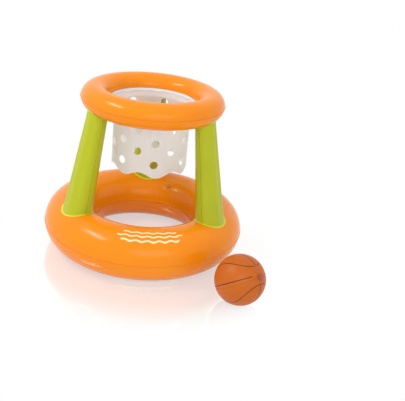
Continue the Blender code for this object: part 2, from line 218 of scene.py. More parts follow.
def remember_chosen_faces(piece, mark):
    """Keeps the faces that are selected now as a named mark, for a second material later."""
    chosen = [face.select for face in piece.data.polygons]
    flags = piece.data.attributes.new(mark, "BOOLEAN", "FACE")
    flags.data.foreach_set("value", chosen)


def put_place_in_mesh(piece):
    take(piece)
    bpy.ops.object.transform_apply(location=True, rotation=True, scale=True)


def copy_of(piece, name, matrix):
    """A copy with its own mesh, moved by a matrix."""
    take(piece)
    bpy.ops.object.duplicate(linked=False)
    twin = call_it(name)
    twin.matrix_world = matrix @ twin.matrix_world
    put_place_in_mesh(twin)
    return twin


def finish_piece(piece, body, slot, *nodes):
    """Smooths a piece, gives it its body and hides the CAD nodes it replaces. Its finish in the record,
    the slot, is not used.
    """
    put_place_in_mesh(piece)
    bpy.ops.object.shade_smooth_by_angle(angle=math.radians(SMOOTH_ANGLE))
    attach(piece, body)
    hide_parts(*nodes)
    faces = sum(len(face.vertices) - 2 for face in piece.data.polygons)
    print(f"{piece.name}: {faces} triangles, {[round(x / MM) for x in piece.dimensions]} mm")
    return piece


# %% Small sums
def ease(share):
    """A smooth step from 0 to 1."""
    share = min(max(share, 0.0), 1.0)
    return share * share * (3 - 2 * share)


def uneven(waves, azimuth, phase=0.0):
    """A sum of sine waves. Each has a count round the circle, a size and a shift in radians."""
    return sum(size * math.sin(count * azimuth + shift + phase) for count, size, shift in waves)


def at_azimuth(azimuth, out=0.0, level=0.0):
    """The place at so many degrees round the hoop's axis, so far out from it and above the floor."""
    return (Matrix.Translation(AXIS) @ Matrix.Rotation(math.radians(azimuth), 4, "Z")
            @ Matrix.Translation((out, 0, level)))


# %% [markdown]
# ## Camera
# The photo looks down on the toy by about 23 degrees through a fairly long lens, and leans a
# little, because the toy is printed on a box that was photographed at an angle. A plain camera has
# that lean as roll. It was fitted to the outlines of the rings, the posts and the ball, and then
# walked a little way round the hoop, so that the rear post stands behind the net as in the photo.

# %% Camera
CAMERA_FROM_AXIS = Vector((0.1932, -2.1774, 1.1242))
CAMERA_LENS = 62.22
CAMERA_SENSOR = 36
CAMERA_DOWN = 23.499
CAMERA_ROLL = 6.63
CAMERA_WALK = -5

clear_selection()
walk = Matrix.Rotation(math.radians(CAMERA_WALK), 3, "Z")
bpy.ops.object.camera_add(location=AXIS + walk @ CAMERA_FROM_AXIS)
camera = bpy.context.object
camera.name = "camera"
camera.data.lens = CAMERA_LENS
camera.data.sensor_width = CAMERA_SENSOR
camera.rotation_euler = (walk @ Matrix.Rotation(math.radians(90 - CAMERA_DOWN), 3, "X")
                         @ Matrix.Rotation(math.radians(CAMERA_ROLL), 3, "Z")).to_euler()
bpy.context.scene.camera = camera
print("camera is", round(CAMERA_FROM_AXIS.length, 3), "m off")

# %% [markdown]
# ## Air valves: where they sit
# Each valve's seat is worked out from its joints in the CAD record: the stem slides along the
# seat's Z axis, and the stopper swings on its strap about the seat's Y axis, at a known reach.

# %% Valve seats
STRAP_REACH = 11 * MM
MOUTH = 2.6 * MM
JOINTS = {joint["name"]: joint for joint in frame["joints"]}


def seat_of(valve):
    upward = Vector(JOINTS[f"{valve}_stem_slide"]["axis"]).normalized()
    hinge = JOINTS[f"{valve}_stopper_hinge"]
    sideways = Vector(hinge["axis"]).normalized()
    forward = sideways.cross(upward)
    seat = Matrix((forward, sideways, upward)).transposed().to_4x4()
    seat.translation = Vector(hinge["pos_m"]) - STRAP_REACH * forward - MOUTH * upward
    return seat


SEATS = {valve: seat_of(valve) for valve in ("base_valve", "rim_valve", "ball_valve")}
for valve, seat in SEATS.items():
    print(valve, [round(x, 4) for x in seat.translation])

# %% [markdown]
# ## Ring sheets
# A pool ring is two flat rings of sheet, welded along their outer and their inner edge and then
# blown up. A torus is its shape, but a bare one has no seam. So half of the torus goes for each
# sheet, the open edges are extruded into flat weld fins, and the corner there is softened with a
# bevel. Blown-up sheet has too much length near its seams and gathers in small dents, which are
# moved in by a formula, because no operator makes an uneven row of them.

# %% Puckers along a seam
RING_STEPS = 432
TUBE_STEPS = 60
CORNER = 0.9 * MM
CORNER_STEPS = 3
OUTER_FIN_SHARE = 0.55
PUCKER_START = 5 * MM
# The waves are for uneven(), and the quiet angles are in radians
DRIFT_WAVES = ((3, 1.3, 0.4), (8, 0.8, 2.1))
DEPTH_WAVES = ((5, 0.28, 1.1), (13, 0.17, 0.3))
EVEN_DEPTH_SHARE = 0.55
PUCKER_SHARPNESS = 3
QUIET_HALF_ANGLE = 0.20
QUIET_FADE_ANGLE = 0.12


def ripple(azimuth, count, phase):
    """An uneven row of dents: 0 between them, up to 1 in the middle of a deep one."""
    wave = (1 + math.cos(count * azimuth + uneven(DRIFT_WAVES, azimuth, phase))) / 2
    return (EVEN_DEPTH_SHARE + uneven(DEPTH_WAVES, azimuth, phase)) * wave ** PUCKER_SHARPNESS


def pucker_ring(sheet, ring, side, seams, quiet):
    """Dents each sheet along its seams. quiet lists the azimuths, in degrees, to leave smooth."""
    tube = (ring.half_width + ring.half_height) / 2

    def formula(point):
        radius = math.hypot(point.x, point.y)
        azimuth = math.atan2(point.y, point.x)
        across = (radius - ring.centre) / ring.half_width
        height = abs(point.z) / ring.half_height
        turn = math.atan2(height, across)
        inward = Vector((-math.cos(turn) * math.cos(azimuth), -math.cos(turn) * math.sin(azimuth),
                         -side * math.sin(turn)))
        off_quiet = [abs(math.remainder(azimuth - math.radians(a), math.tau)) for a in quiet]
        calm = min([ease((off - QUIET_HALF_ANGLE) / QUIET_FADE_ANGLE) for off in off_quiet] or [1.0])
        for from_seam, count, depth, reach, phase in seams:
            arc = abs(turn - from_seam) * tube
            weight = (1 - math.exp(-(arc / PUCKER_START) ** 2)) * math.exp(-(arc / reach) ** 2)
            if abs(across) < 1:
                point += inward * depth * calm * weight * ripple(azimuth, count, phase)
        return point

    move_points(sheet, formula)


# %% One sheet of a ring
def ring_sheet(name, ring, side, belly):
    """The upper sheet for side 1, the lower for -1. The belly is pressed flat by the floor."""
    place = Vector((AXIS.x, AXIS.y, ring.middle))
    tube = ring.half_width - SHEET / 2
    clear_selection()
    bpy.ops.mesh.primitive_torus_add(location=place, major_segments=RING_STEPS,
                                     minor_segments=TUBE_STEPS, major_radius=ring.centre,
                                     minor_radius=tube)
    sheet = call_it(name)
    choose(sheet, "FACE", lambda face: side * middle_of(face).z < 0)
    bpy.ops.mesh.delete(type="FACE")
    rise = ring.half_height - BETWEEN_SHEETS / 2 - SHEET
    choose_all(sheet)
    bpy.ops.transform.resize(value=(1, 1, (rise + belly) / tube), center_override=place)
    choose(sheet, "VERT", lambda vertex: side * vertex.co.z > rise)
    bpy.ops.transform.resize(value=(1, 1, 0), center_override=place + Vector((0, 0, side * rise)))
    choose_all(sheet)
    lift = side * (BETWEEN_SHEETS + SHEET) / 2
    bpy.ops.transform.translate(value=(0, 0, lift))
    for way in (1, -1):
        wall = ring.centre + way * tube
        fin = SEAM_WELD * (OUTER_FIN_SHARE if way > 0 else 1)
        edge = ring.centre + way * (ring.half_width + fin)

        def on_this_edge(e):
            return e.is_boundary and way * (middle_of(e).xy.length - ring.centre) > 0

        choose(sheet, "EDGE", on_this_edge)
        bpy.ops.mesh.extrude_region_move()
        bpy.ops.transform.resize(value=(edge / wall, edge / wall, 1), center_override=place)

        def at_the_corner(e):
            return (not e.is_boundary
                    and all(abs(v.co.xy.length - wall) < SHEET and abs(v.co.z - lift) < SHEET / 2
                            for v in e.verts))

        choose(sheet, "EDGE", at_the_corner)
        bpy.ops.mesh.bevel(offset=CORNER, segments=CORNER_STEPS, affect="EDGES")
    return leave(sheet)


# %% Flat places for the valves
FLAT_RADIUS = 12 * MM
FLAT_FADE = 16 * MM


def flatten_at(sheet, seat):
    """Lays the sheet flat under a valve's flange, as the stiff flange does."""
    to_seat = seat.inverted() @ Matrix.Translation(sheet.location)

    def formula(point):
        local = to_seat @ point
        if abs(local.z) < FLAT_RADIUS:
            share = 1 - ease((local.xy.length - FLAT_RADIUS) / FLAT_FADE)
            local.z += (-SHEET / 2 - local.z) * share
        return to_seat.inverted() @ local

    move_points(sheet, formula)


# %% Sizes of holes and puckers
POST_AZIMUTHS = {"front_left": 210, "front_right": 330, "rear": 90}
OUTER_SEAM = 0.0
INNER_SEAM = math.pi
FILM_HOLE = 11.6 * MM
POST_AIR_HOLE = 24 * MM
BELLY_PRESS = 1.5 * MM

# Each seam has its place, its count of puckers, their depth and reach, and a phase
base_seams = ((OUTER_SEAM, 66, 0.8 * MM, 19 * MM, 0.0), (INNER_SEAM, 58, 1.7 * MM, 22 * MM, 1.7))
rim_seams = ((OUTER_SEAM, 56, 0.5 * MM, 11 * MM, 0.9), (INNER_SEAM, 48, 1.2 * MM, 14 * MM, 2.6))
posts = tuple(POST_AZIMUTHS.values())
print("puckers", base_seams, rim_seams)

# %% The four ring sheets
def finished_sheet(name, node, ring, side, seams, belly=0.0, quiet=(), valve=None, air_holes=()):
    """A ring's sheet with its puckers, the hole of its valve, and air holes at some azimuths."""
    sheet = ring_sheet(name, ring, side, belly)
    pucker_ring(sheet, ring, side, seams, quiet)
    holes = []
    if valve:
        flatten_at(sheet, SEATS[valve])
        holes = [(FILM_HOLE, SEATS[valve])]
    crown = ring.middle + ring.half_height
    holes += [(POST_AIR_HOLE, at_azimuth(azimuth, ring.centre, crown)) for azimuth in air_holes]
    thicken(sheet)
    for diameter, place in holes:
        combine(sheet, round_bar(diameter, diameter, place), "DIFFERENCE")
    return finish_piece(sheet, "hoop", "orange_vinyl", node)


base_top = finished_sheet("base_ring_upper_sheet", "base_top_film", BASE, 1, base_seams,
                          valve="base_valve", air_holes=posts)
base_bottom = finished_sheet("base_ring_lower_sheet", "base_bottom_film", BASE, -1, base_seams,
                             belly=BELLY_PRESS)
rim_top = finished_sheet("rim_upper_sheet", "rim_top_film", RIM, 1, rim_seams)
rim_bottom = finished_sheet("rim_lower_sheet", "rim_bottom_film", RIM, -1, rim_seams, quiet=posts,
                            valve="rim_valve")

# %% [markdown]
# ## Posts
# Each post is two panels welded up both sides. At its foot and its head the panels are welded to
# the rings with a lip that follows the ring's skin. It starts as half of an open cylinder, is
# tapered by resizing its top edge, and gets its side welds and lips by extruding open edges. A
# formula then lays the ends on the rings, which are curved, and presses in the soft upright
# flutes that such a slack tube shows.

# %% Post sizes
FOOT_WIDTH = 112 * MM
FOOT_DEPTH = 90 * MM
HEAD_WIDTH = 80 * MM
HEAD_DEPTH = 60 * MM
HEAD_OUTSET = 6 * MM
HEAD_CENTRE = RIM.centre + HEAD_OUTSET
SIDE_WELD = 3 * MM
LIP = 5 * MM
LIP_GAP = 0.3 * MM
WELD_LIP = "weld lip"
FOOT_LEVEL = BASE.middle + BASE.half_height
HEAD_LEVEL = RIM.middle - RIM.half_height
POST_STEPS = 96
POST_ROWS = 64
FLUTES = 3
FLUTE_DEPTH = 2.6 * MM
FOOT_FADE_SHARE = 0.16
HEAD_FADE_SHARE = 0.14
SIDE_FADE_SHARE = 0.3
GATHER_DEPTH = 0.7 * MM
GATHER_REACH = 22 * MM
GATHERS = 13
GATHER_DRIFT = 2
GATHER_DRIFT_RATE = 5
print("posts from", round(FOOT_LEVEL, 3), "to", round(HEAD_LEVEL, 3), "m")


def skin_level(ring, side, radius):
    """The height of a lip that lies on a ring's skin, at a distance from the hoop's axis."""
    clearance = LIP_GAP + SHEET / 2
    share = (radius - ring.centre) / (ring.half_width + clearance)
    return ring.middle + side * (ring.half_height + clearance) * math.sqrt(max(1 - share ** 2, 0))


def between(foot, head, share):
    return foot + (head - foot) * share


# %% One panel of a post
def post_panel(name, side):
    """The outer panel for side 1, the inner for -1, of a post at azimuth 0."""
    height = HEAD_LEVEL - FOOT_LEVEL
    place = Vector((AXIS.x + BASE.centre, AXIS.y, (FOOT_LEVEL + HEAD_LEVEL) / 2))
    top = place + Vector((0, 0, height / 2))
    foot = place - Vector((0, 0, height / 2))
    panel = open_tube(name, FOOT_WIDTH / 2, height, POST_STEPS, place)
    choose(panel, "FACE", lambda face: side * middle_of(face).x < 0)
    bpy.ops.mesh.delete(type="FACE")
    choose_all(panel)
    bpy.ops.transform.resize(value=(FOOT_DEPTH / FOOT_WIDTH, 1, 1), center_override=place)
    for way in (1, -1):
        choose(panel, "EDGE", lambda e: e.is_boundary and abs(middle_of(e).z) < SHEET
               and way * middle_of(e).y > 0)
        bpy.ops.mesh.extrude_region_move()
        bpy.ops.transform.translate(value=(0, way * SIDE_WELD, 0))
    choose(panel, "VERT", lambda vertex: vertex.co.z > 0)
    bpy.ops.transform.resize(value=(HEAD_DEPTH / FOOT_DEPTH, HEAD_WIDTH / FOOT_WIDTH, 1),
                             center_override=top)
    head_shift = HEAD_CENTRE - BASE.centre
    bpy.ops.transform.translate(value=(head_shift, 0, 0))
    add_rows(panel, height, POST_ROWS)
    for centre, depth, width in ((foot, FOOT_DEPTH, FOOT_WIDTH),
                                 (top + Vector((head_shift, 0, 0)), HEAD_DEPTH, HEAD_WIDTH)):
        level = centre.z - place.z
        choose(panel, "EDGE", lambda e: all(abs(v.co.z - level) < SHEET for v in e.verts))
        bpy.ops.mesh.extrude_region_move()
        bpy.ops.transform.resize(value=(1 + 2 * LIP / depth, 1 + 2 * LIP / width, 1),
                                 center_override=centre)
        choose(panel, "EDGE", lambda e: not e.is_boundary
               and all(abs(v.co.z - level) < SHEET for v in e.verts)
               and not any(v.is_boundary for v in e.verts))
        bpy.ops.mesh.bevel(offset=CORNER, segments=CORNER_STEPS, affect="EDGES")
    choose(panel, "FACE", lambda face: all(abs(abs(v.co.z) - height / 2) < SHEET for v in face.verts))
    leave(panel)
    remember_chosen_faces(panel, WELD_LIP)
    lay_post(panel, side, place, height)
    return panel


# %% Laying a panel on the rings
def lay_post(panel, side, place, height):
    """Lays a panel's ends on the rings and presses its flutes and gathers in."""
    def formula(point):
        share = point.z / height + 1 / 2
        clear_share = min(max(share, 0.0), 1.0)
        centre = between(0, HEAD_CENTRE - BASE.centre, clear_share)
        half_depth = between(FOOT_DEPTH, HEAD_DEPTH, clear_share) / 2
        half_width = between(FOOT_WIDTH, HEAD_WIDTH, clear_share) / 2
        out = (point.x - centre) / half_depth
        across = point.y / half_width
        foot_radius = math.hypot(BASE.centre + out * FOOT_DEPTH / 2, across * FOOT_WIDTH / 2)
        head_radius = math.hypot(HEAD_CENTRE + out * HEAD_DEPTH / 2, across * HEAD_WIDTH / 2)
        low = skin_level(BASE, 1, foot_radius)
        high = skin_level(RIM, -1, head_radius)
        moved = Vector((point.x + side * (BETWEEN_SHEETS + SHEET) / 2, point.y,
                        between(low, high, clear_share) - place.z))
        if abs(across) < 1 and 0 < share < 1:
            body = ease(share / FOOT_FADE_SHARE) * ease((1 - share) / HEAD_FADE_SHARE)
            flute = math.cos(FLUTES * math.pi * across / 2) ** 2
            flute *= ease((1 - abs(across)) / SIDE_FADE_SHARE)
            end = min(moved.z + place.z - low, high - moved.z - place.z)
            gather = math.exp(-end / GATHER_REACH) * (1 - math.exp(-end / PUCKER_START))
            drift = GATHER_DRIFT * math.sin(GATHER_DRIFT_RATE * across)
            wave = (1 + math.sin(GATHERS * across * math.pi + drift)) / 2
            press = FLUTE_DEPTH * body * flute + GATHER_DEPTH * gather * wave
            moved.x -= side * press * math.sqrt(max(1 - across ** 2, 0))
            moved.y -= press * across
        return moved

    move_points(panel, formula)


# %% The three posts, copied from one
outer_panel = post_panel("post_outer_panel", 1)
inner_panel = post_panel("post_inner_panel", -1)
for pattern, which in ((outer_panel, "outer"), (inner_panel, "inner")):
    thicken(pattern)
    put_place_in_mesh(pattern)
    for place_name, azimuth in POST_AZIMUTHS.items():
        around = at_azimuth(azimuth) @ Matrix.Translation(-AXIS)
        panel = copy_of(pattern, f"{place_name}_post_{which}_sheet", around)
        finish_piece(panel, "hoop", "green_vinyl", f"{place_name}_post_{which}_panel")
    bpy.data.objects.remove(pattern)

# %% [markdown]
# ## Net sleeve
# The net is no cord at all: it is one strip of frosted film, rolled into a tube and welded to the
# rim's inner seam, with rows of punched round holes and a scalloped hem. An open cylinder with
# many rows takes the form. It is flared to the seam, hung in scallops and soft upright folds by a
# formula, given the film's thickness, and punched with one cutter for all its holes.

# %% Net sizes
NET_RADIUS = 246 * MM / 2
NET_LENGTH = 216.5 * MM
FLARE = 27 * MM
LIP_INSET = 1 * MM
NET_LIP = 3 * MM
NET_HOLE = 25.5 * MM
FIRST_ROW = 40 * MM
ROW_PITCH = 70 * MM
SHORT_COLUMN_DROP = 27.5 * MM
LONG_COLUMN_HOLES = 3
SCALLOP = 9 * MM
SCALLOPS = 7
STRETCH_FROM = 193.5 * MM
NET_AZIMUTH = -82
LOBE_AZIMUTH = -77
NET_BAND = 7 * MM
BAND_ROWS = 5
NET_STEPS = 378
NET_ROWS = 70
FOLD = 2.2 * MM
FOLD_WAVES = ((3, 0.45, 0.5), (7, 0.35, 1.4), (13, 0.2, 2.9))

NET_TOP = RIM.middle - 2 * BETWEEN_SHEETS - 1.5 * SHEET + BETWEEN_SHEETS / 2
NECK = RIM.centre - RIM.half_width - LIP_INSET - NET_LIP
print("net top and neck", round(NET_TOP, 4), round(NECK, 4))


# %% The line that the net hangs in
def net_radius(level):
    """How far the film stands from the axis at a height."""
    share = min(max((NET_TOP - level) / (NET_TOP - RIM.middle + FLARE), 0.0), 1.0)
    return NET_RADIUS + (NECK - NET_RADIUS) * (1 - ease(share))


def hang_net(net):
    """Draws the sleeve in from its flare, folds it softly and stretches its hem into scallops."""
    bottom = RIM.middle - NET_LENGTH
    stretch_from = RIM.middle - STRETCH_FROM

    def formula(point):
        azimuth = math.atan2(point.y, point.x)
        radius = point.xy.length * net_radius(point.z) / NET_RADIUS
        drop = ease((NET_TOP - point.z) / NET_LENGTH)
        radius += FOLD * uneven(FOLD_WAVES, azimuth) * drop
        level = point.z
        if level < stretch_from:
            hem = bottom - SCALLOP * math.cos(SCALLOPS * (azimuth - math.radians(LOBE_AZIMUTH)))
            stretch = (hem - stretch_from) / (bottom - stretch_from)
            level = stretch_from + (level - stretch_from) * stretch
        return Vector((radius * math.cos(azimuth), radius * math.sin(azimuth), level))

    move_points(net, formula)


# %% Roll and flare the net
net_height = NET_TOP - RIM.middle + NET_LENGTH
net = open_tube("net_film_sleeve", NET_RADIUS, net_height, NET_STEPS, AXIS)
add_rows(net, net_height, NET_ROWS)
clear_selection()
net.data.transform(Matrix.Translation((0, 0, NET_TOP - net_height / 2)))
hang_net(net)
choose(net, "EDGE", lambda e: e.is_boundary and middle_of(e).z > RIM.middle - FLARE)
bpy.ops.mesh.extrude_region_move()
lip_scale = (NECK + NET_LIP) / NECK
bpy.ops.transform.resize(value=(lip_scale, lip_scale, 1), center_override=(AXIS.x, AXIS.y, NET_TOP))
leave(net)
thicken(net)

# %% Punch the holes
punches = []
for column in range(2 * SCALLOPS):
    short = column % 2
    for row in range(LONG_COLUMN_HOLES - short):
        drop = FIRST_ROW + ROW_PITCH * row + SHORT_COLUMN_DROP * short
        spot = at_azimuth(NET_AZIMUTH + 180 * column / SCALLOPS, NET_RADIUS, RIM.middle - drop)
        punches.append(round_bar(NET_HOLE, NET_RADIUS / 2, spot @ Matrix.Rotation(math.pi / 2, 4, "Y")))
clear_selection()
for punch in punches:
    punch.select_set(True)
bpy.context.view_layer.objects.active = punches[0]
bpy.ops.object.join()
combine(net, punches[0], "DIFFERENCE")

finish_piece(net, "hoop", "net_film", "net_sleeve")

# %% The weld band inside the net's neck
BAND_INSET = 2 * BETWEEN_SHEETS + SHEET

band_height = NET_BAND - BETWEEN_SHEETS
band_level = NET_TOP - NET_BAND + band_height / 2
band = open_tube("net_weld_strip", NECK, band_height, NET_STEPS // 2, AXIS + Vector((0, 0, band_level)))
add_rows(band, band_height, BAND_ROWS)


def follow_the_net(point):
    radius = net_radius(point.z + band_level) - BAND_INSET
    azimuth = math.atan2(point.y, point.x)
    return Vector((radius * math.cos(azimuth), radius * math.sin(azimuth), point.z))


move_points(band, follow_the_net)
thicken(band)
finish_piece(band, "hoop", "weld_band", "net_weld_band")

# %% [markdown]
# ## Ball
# The ball is six gores of vinyl, welded edge to edge between two poles. One gore is cut out of a
# sphere, its edges are drawn in as welds are, and it is copied round the pole axis. One pole has
# the valve, where the gores gather in small wrinkles, and the other is covered by a round patch.

# %% Ball sizes and its frame
BALL_RADIUS = 78 * MM
GORES = 6
POLE_OPENING = 14 * MM
POLE_PATCH = 30 * MM
BALL_FRAME = SEATS["ball_valve"] @ Matrix.Translation((0, 0, -BALL_RADIUS))
GORE_TURN = math.tau / GORES
SEAM_SINK = 0.5 * MM
SEAM_REACH = 2.2 * MM
CRUMPLE = 1.1 * MM
CRUMPLE_REACH = 17 * MM
CRUMPLE_START = 3 * MM
CRUMPLE_WAVES = ((13, 0.6, 0.3), (19, 0.4, 1.9), (8, 0.35, 4.0))
BALL_SEGMENTS = 216
BALL_RINGS = 108
print("ball centre", [round(x, 4) for x in BALL_FRAME.translation])


def ball_formula(point):
    """Sinks the weld between two gores and crumples the sheet round the valve."""
    outward = point.normalized()
    azimuth = math.atan2(point.y, point.x)
    off_seam = abs(math.remainder(azimuth, GORE_TURN)) * point.xy.length
    polar = math.acos(max(-1.0, min(1.0, outward.z))) * BALL_RADIUS
    sink = SEAM_SINK * math.exp(-(off_seam / SEAM_REACH) ** 2)
    waves = uneven(CRUMPLE_WAVES, azimuth)
    start = 1 - math.exp(-(polar / (POLE_OPENING / 2 + CRUMPLE_START)) ** 4)
    crumple = CRUMPLE * start * math.exp(-(polar / CRUMPLE_REACH) ** 2) * (1 + waves) / 2
    return point - outward * (sink + max(crumple, 0.0))


# %% The six gores, copied from one
clear_selection()
bpy.ops.mesh.primitive_uv_sphere_add(segments=BALL_SEGMENTS, ring_count=BALL_RINGS,
                                     radius=BALL_RADIUS - SHEET / 2)
gore_pattern = call_it("gore_pattern")


def outside_the_gore(face):
    azimuth = math.atan2(middle_of(face).y, middle_of(face).x)
    return not 0 < azimuth < GORE_TURN


choose(gore_pattern, "FACE", outside_the_gore)
bpy.ops.mesh.delete(type="FACE")
opening_level = math.sqrt((BALL_RADIUS - SHEET / 2) ** 2 - (POLE_OPENING / 2) ** 2)
for way in (1, -1):
    choose_all(gore_pattern)
    bpy.ops.mesh.bisect(plane_co=(0, 0, way * opening_level), plane_no=(0, 0, way),
                        clear_outer=True)
leave(gore_pattern)
move_points(gore_pattern, ball_formula)
thicken(gore_pattern)
outset = BETWEEN_SHEETS * Vector((math.cos(GORE_TURN / 2), math.sin(GORE_TURN / 2), 0))
for gore in range(GORES):
    round_pole = Matrix.Rotation(GORE_TURN * gore, 4, "Z")
    piece = copy_of(gore_pattern, f"ball_gore_sheet_{gore + 1}",
                    BALL_FRAME @ round_pole @ Matrix.Translation(outset))
    finish_piece(piece, "ball", "ball_vinyl", f"ball_gore_{gore + 1}")
bpy.data.objects.remove(gore_pattern)

# %% The round patch over the far pole
PATCH_RADIUS = BALL_RADIUS + 2 * BETWEEN_SHEETS + SHEET / 2
PATCH_SEGMENTS = 72
PATCH_RINGS = 180

clear_selection()
bpy.ops.mesh.primitive_uv_sphere_add(segments=PATCH_SEGMENTS, ring_count=PATCH_RINGS,
                                     radius=PATCH_RADIUS)
patch = call_it("ball_far_pole_patch")
patch_level = -math.sqrt(PATCH_RADIUS ** 2 - (POLE_PATCH / 2) ** 2)
choose_all(patch)
bpy.ops.mesh.bisect(plane_co=(0, 0, patch_level), plane_no=(0, 0, 1), clear_outer=True)
leave(patch)
thicken(patch)
patch.matrix_world = BALL_FRAME
finish_piece(patch, "ball", "ball_vinyl", "ball_pole_patch")

# %% [markdown]
# ## Air valves
# A pool toy's valve is moulded in soft vinyl: a flange welded to the sheet, a stem that pushes in
# flush, a flap inside that holds the air, and a stopper on a strap. Each is turned on a lathe here:
# a circle is extruded and resized from one point of the profile to the next. The ear and the strap
# are faces of the turned body, extruded sideways. One valve is made and copied to the three seats.

# %% A lathe of extrusions
VALVE_STEPS = 64


def turned(name, profile, hollow):
    """Turns (radius, height) points, in millimetres. A hollow one closes on its first point."""
    clear_selection()
    radius, height = profile[0]
    bpy.ops.mesh.primitive_circle_add(vertices=VALVE_STEPS, radius=radius * MM,
                                      fill_type="NOTHING", location=(0, 0, height * MM))
    piece = call_it(name)
    put_place_in_mesh(piece)
    choose_all(piece)
    if not hollow:
        bpy.ops.mesh.edge_face_add()
        bpy.ops.mesh.select_mode(type="EDGE")
    stops = profile[1:] + (profile[:1] if hollow else [])
    for next_radius, next_height in stops:
        bpy.ops.mesh.extrude_region_move()
        scale = next_radius / radius
        bpy.ops.transform.resize(value=(scale, scale, 1), center_override=(0, 0, height * MM))
        bpy.ops.transform.translate(value=(0, 0, (next_height - height) * MM))
        radius, height = next_radius, next_height
    choose_all(piece)
    bpy.ops.mesh.remove_doubles(threshold=MM / 100)
    bpy.ops.mesh.normals_make_consistent(inside=False)
    return leave(piece)


# %% Arms, caps and soft edges
ALONG_X = 0.8
SHARP_ANGLE = 35


def pull_out(piece, half_width, levels, to_x):
    """Extrudes the side faces that look along X, within a width and two heights, to a plane."""
    low, high = levels

    def looks_along_x(face):
        centre = middle_of(face)
        return (face.normal.x > ALONG_X and abs(centre.y) < half_width
                and low < centre.z < high)

    found = choose(piece, "FACE", looks_along_x)
    bpy.ops.mesh.extrude_region_move()
    bpy.ops.transform.resize(value=(0, 1, 1), center_override=(to_x, 0, 0))
    leave(piece)
    print(piece.name, "grows an arm from", found, "faces")


def fill_openings(piece):
    choose(piece, "EDGE", lambda e: e.is_boundary)
    bpy.ops.mesh.edge_face_add()
    leave(piece)


def soften(piece, width):
    edge = piece.modifiers.new("soft edge", "BEVEL")
    edge.width = width
    edge.segments = 2
    edge.limit_method = "ANGLE"
    edge.angle_limit = math.radians(SHARP_ANGLE)
    apply_modifiers(piece)


# %% Profiles of a valve, as radius and height in millimetres
FLANGE_PROFILE = [(5.4, 0.3), (10.5, 0.3), (10.5, 0.7), (9.9, 1.0), (8.3, 1.3), (5.4, 1.3)]
STEM_PROFILE = [(3.7, -12.5), (6.3, -12.5), (6.3, -11.9), (5.9, -11.7), (5.0, -11.7), (5.0, 1.6),
                (6.8, 1.6), (6.8, 2.6), (3.7, 2.6)]
STOPPER_PROFILE = [(2.5, -2.4), (3.3, 2.9), (6.2, 2.9), (6.2, 3.9), (6.2, 4.2), (5.9, 4.5),
                   (4.9, 4.5), (4.5, 4.2), (1.5, 4.2)]
FLAP_PROFILE = [(1.0, -12.8), (4.4, -12.8), (4.4, -13.2), (4.1, -13.4), (3.2, -13.4),
                (3.0, -13.25), (1.0, -13.25)]
EAR_HALF = 2.5 * MM
EAR_LEVELS = (1.7 * MM, 2.5 * MM)
STRAP_HALF = 2.0 * MM
STRAP_LEVELS = (3.0 * MM, 3.8 * MM)
ROLL = 1.4 * MM
ROLL_STEPS = 32
SOFT_EDGES = {"flange": 0.12 * MM, "stem": 0.15 * MM, "stopper": 0.12 * MM, "flap": 0.08 * MM}

# %% The four pieces of a valve
flange = turned("flange", FLANGE_PROFILE, hollow=True)
stem = turned("stem", STEM_PROFILE, hollow=True)
pull_out(stem, EAR_HALF, EAR_LEVELS, STRAP_REACH - ROLL / 2 - BETWEEN_SHEETS)
stopper = turned("stopper", STOPPER_PROFILE, hollow=False)
fill_openings(stopper)
pull_out(stopper, STRAP_HALF, STRAP_LEVELS, STRAP_REACH)
across_strap = Matrix.Translation((STRAP_REACH, 0, MOUTH)) @ Matrix.Rotation(math.pi / 2, 4, "X")
roll = round_bar(ROLL, 2 * STRAP_HALF - BETWEEN_SHEETS, across_strap, ROLL_STEPS)
combine(stopper, roll, "UNION")
flap = turned("flap", FLAP_PROFILE, hollow=False)
fill_openings(flap)
VALVE_PIECES = {"flange": flange, "stem": stem, "stopper": stopper, "flap": flap}
for part, pattern in VALVE_PIECES.items():
    soften(pattern, SOFT_EDGES[part])

# %% Three valves from one
for valve, seat in SEATS.items():
    carrier = "ball" if valve == "ball_valve" else "hoop"
    for part, pattern in VALVE_PIECES.items():
        piece = copy_of(pattern, f"{valve}_{part}_moulding", seat)
        body = carrier if part == "flange" else f"{valve}_{part}"
        finish_piece(piece, body, "valve_vinyl", f"{valve}_{part}")
for pattern in VALVE_PIECES.values():
    bpy.data.objects.remove(pattern)

# %% [markdown]
# ## Finishes
# Every colour is written as it would be picked on a screen, and one function turns it into the
# linear light that Blender works with. One more function adds a node with its settings and links,
# and takes a node's first output where it is given the node itself.

# %% Colour and node helpers
def colour(hex_text):
    """An sRGB hex colour as linear RGBA."""
    parts = [int(hex_text[i:i + 2], 16) / 255 for i in (1, 3, 5)]
    linear = [x / 12.92 if x <= 0.04045 else ((x + 0.055) / 1.055) ** 2.4 for x in parts]
    return (*linear, 1.0)


def add(tree, kind, *inputs, named=None, **settings):
    """Adds a shader node. Each input is a value, a node, or an output socket to link from."""
    node = tree.nodes.new("ShaderNode" + kind)
    for name, value in settings.items():
        setattr(node, name, value)
    for key, value in (*enumerate(inputs), *(named or {}).items()):
        if isinstance(value, bpy.types.Node):
            value = value.outputs[0]
        if isinstance(value, bpy.types.NodeSocket):
            tree.links.new(value, node.inputs[key])
        else:
            node.inputs[key].default_value = value
    return node


def start_material(name, **sockets):
    """A new Principled material. Constants are set on the shader's own sockets."""
    material = bpy.data.materials.new(name)
    material.use_nodes = True
    tree = material.node_tree
    shader = tree.nodes["Principled BSDF"]
    for key, value in sockets.items():
        shader.inputs[key.replace("_", " ")].default_value = value
    return material, tree, shader


def paint(material, *names):
    for name in names:
        piece = bpy.data.objects[name]
        piece.data.materials.clear()
        piece.data.materials.append(material)
    print(material.name, "covers", len(names), "pieces")
